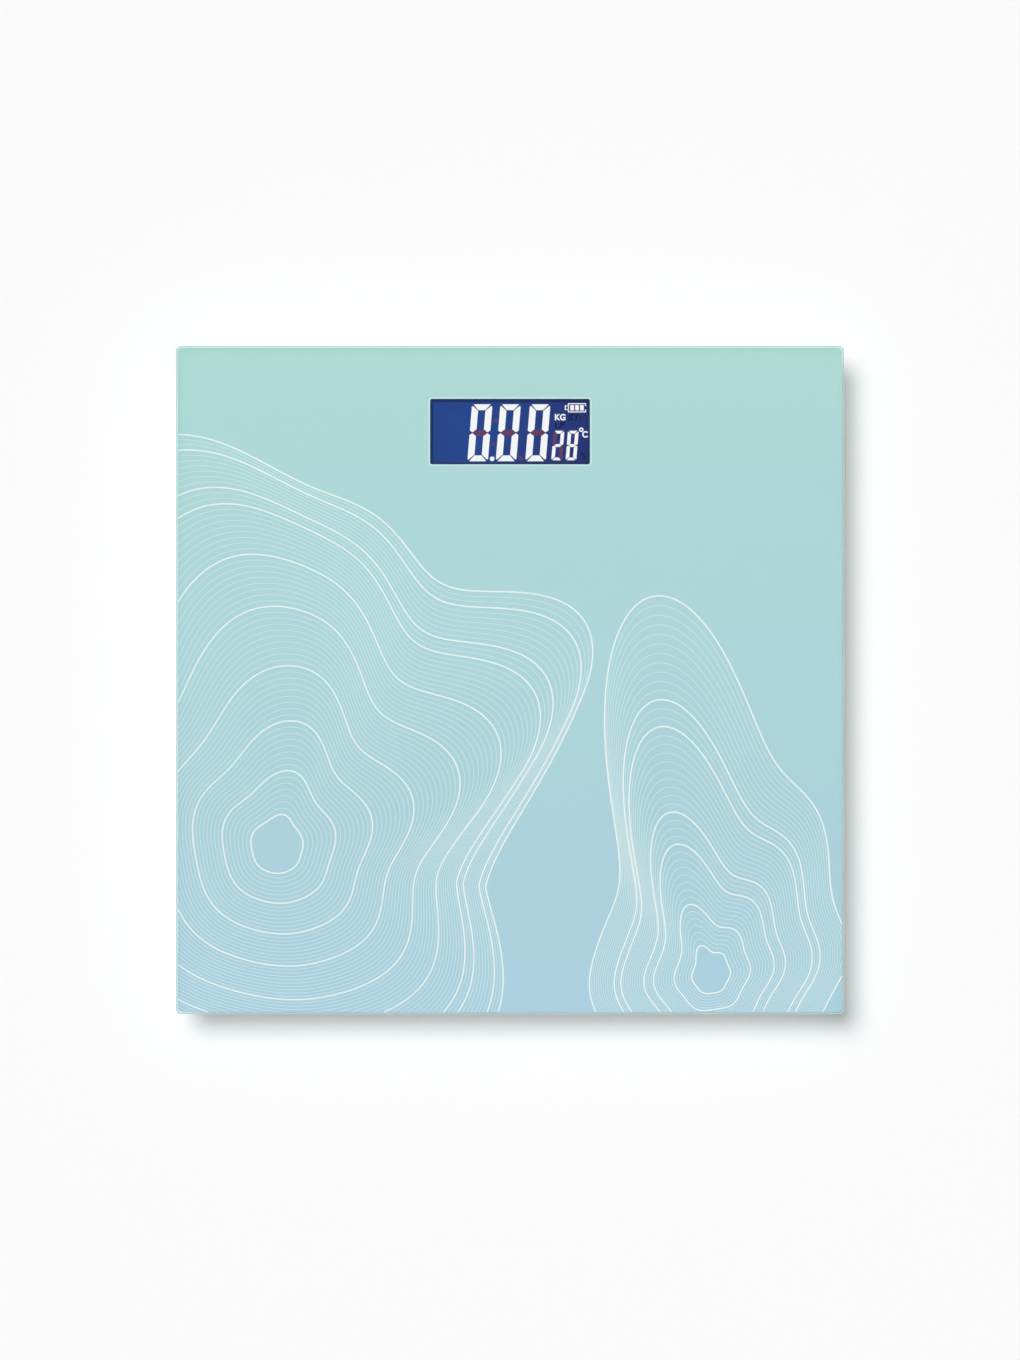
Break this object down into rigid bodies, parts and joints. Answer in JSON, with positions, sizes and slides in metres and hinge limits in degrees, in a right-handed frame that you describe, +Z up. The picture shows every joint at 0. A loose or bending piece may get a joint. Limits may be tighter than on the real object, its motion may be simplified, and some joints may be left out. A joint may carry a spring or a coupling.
{
  "type": "digital bathroom scale",
  "caption": "Square glass-topped digital bathroom scale with a backlit display window, load-cell feet, a unit button and a battery door underneath.",
  "frame": {"origin": "on the floor under the middle of the platform", "axes": "+Z up out of the platform, +Y towards the display edge, +X to the right when reading the display"},
  "size_m": [0.28, 0.28, 0.024],
  "materials": {
    "tempered_glass": "clear tempered glass with ground edges",
    "printed_film": "pale mint to pale blue print seen through glass",
    "foam_tape": "white closed-cell foam",
    "white_abs": "fine-textured white moulding",
    "grey_abs": "fine-textured grey moulding",
    "dark_plastic": "dark moulding",
    "foot_rubber": "dark grey anti-slip rubber",
    "cell_steel": "stamped spring steel",
    "screw_steel": "zinc-plated steel",
    "contact_metal": "nickel-plated spring steel",
    "gauge_foil": "polyimide foil",
    "silicone": "white silicone",
    "black_foam": "black foam",
    "lcd_glass": "blue negative liquid crystal glass",
    "polariser_film": "blue polariser film",
    "clear_acrylic": "clear acrylic",
    "white_film": "white reflector film",
    "lamp": "white lamp package",
    "elastomer": "layered conductive elastomer",
    "board_laminate": "green glass-fibre laminate",
    "black_epoxy": "black epoxy",
    "capacitor_sleeve": "blue sleeve",
    "plunger_plastic": "ivory moulding",
    "cell_can": "steel can in a printed sleeve",
    "lead_insulation": "coloured insulation"
  },
  "bodies": {
    "scale": {"glass_platform": "tempered_glass", "printed_film": "printed_film", "bonding_tape": "foam_tape", "base_tray": "white_abs", "load_cell_front_left": "cell_steel", "load_cell_front_right": "cell_steel", "load_cell_rear_left": "cell_steel", "load_cell_rear_right": "cell_steel", "cell_clamp_front_left": "white_abs", "cell_clamp_front_right": "white_abs", "cell_clamp_rear_left": "white_abs", "cell_clamp_rear_right": "white_abs", "cell_leads_front_left": "lead_insulation", "cell_leads_front_right": "lead_insulation", "cell_leads_rear_left": "lead_insulation", "cell_leads_rear_right": "lead_insulation", "strain_gauges": "gauge_foil", "gauge_sealant": "silicone", "cell_screws": "screw_steel", "window_gasket": "black_foam", "lcd_bezel": "dark_plastic", "lcd_polariser": "polariser_film", "lcd_panel": "lcd_glass", "light_guide": "clear_acrylic", "light_reflector": "white_film", "backlight_lamps": "lamp", "contact_strips": "elastomer", "circuit_board": "board_laminate", "board_screws": "screw_steel", "amplifier_chip": "black_epoxy", "processor_blob": "black_epoxy", "smoothing_capacitors": "capacitor_sleeve", "room_thermistor": "black_epoxy", "unit_switch": "dark_plastic", "battery_front": "cell_can", "battery_rear": "cell_can", "contact_springs": "contact_metal", "bridge_contact": "contact_metal", "positive_contact": "contact_metal", "negative_contact": "contact_metal", "battery_leads": "lead_insulation"},
    "unit_button_body": {"unit_button": "grey_abs", "switch_plunger": "plunger_plastic"},
    "door": {"battery_door": "white_abs", "door_foam": "black_foam"},
    "foot_front_left": {"foot_cup_front_left": "white_abs", "foot_pad_front_left": "foot_rubber"},
    "foot_front_right": {"foot_cup_front_right": "white_abs", "foot_pad_front_right": "foot_rubber"},
    "foot_rear_left": {"foot_cup_rear_left": "white_abs", "foot_pad_rear_left": "foot_rubber"},
    "foot_rear_right": {"foot_cup_rear_right": "white_abs", "foot_pad_rear_right": "foot_rubber"}
  },
  "joints": [
    {"name": "foot_front_left_slide", "type": "slide", "parent": "scale", "child": "foot_front_left", "axis": [0, 0, 1], "range_m": [0, 0.0005], "stiffness_N_per_m": 1000, "springref_m": -0.005, "deforming": ["load_cell_front_left"]},
    {"name": "foot_front_right_slide", "type": "slide", "parent": "scale", "child": "foot_front_right", "axis": [0, 0, 1], "range_m": [0, 0.0005], "stiffness_N_per_m": 1000, "springref_m": -0.005, "deforming": ["load_cell_front_right"]},
    {"name": "foot_rear_left_slide", "type": "slide", "parent": "scale", "child": "foot_rear_left", "axis": [0, 0, 1], "range_m": [0, 0.0005], "stiffness_N_per_m": 1000, "springref_m": -0.005, "deforming": ["load_cell_rear_left"]},
    {"name": "foot_rear_right_slide", "type": "slide", "parent": "scale", "child": "foot_rear_right", "axis": [0, 0, 1], "range_m": [0, 0.0005], "stiffness_N_per_m": 1000, "springref_m": -0.005, "deforming": ["load_cell_rear_right"]},
    {"name": "unit_button_slide", "type": "slide", "parent": "scale", "child": "unit_button_body", "axis": [0, 0, 1], "range_m": [0, 0.0004], "stiffness_N_per_m": 3000},
    {"name": "battery_door_hinge", "type": "hinge", "parent": "scale", "child": "door", "pos_m": [0, 0.03925, 0.0054], "axis": [-1, 0, 0], "range_deg": [0, 95]}
  ]
}
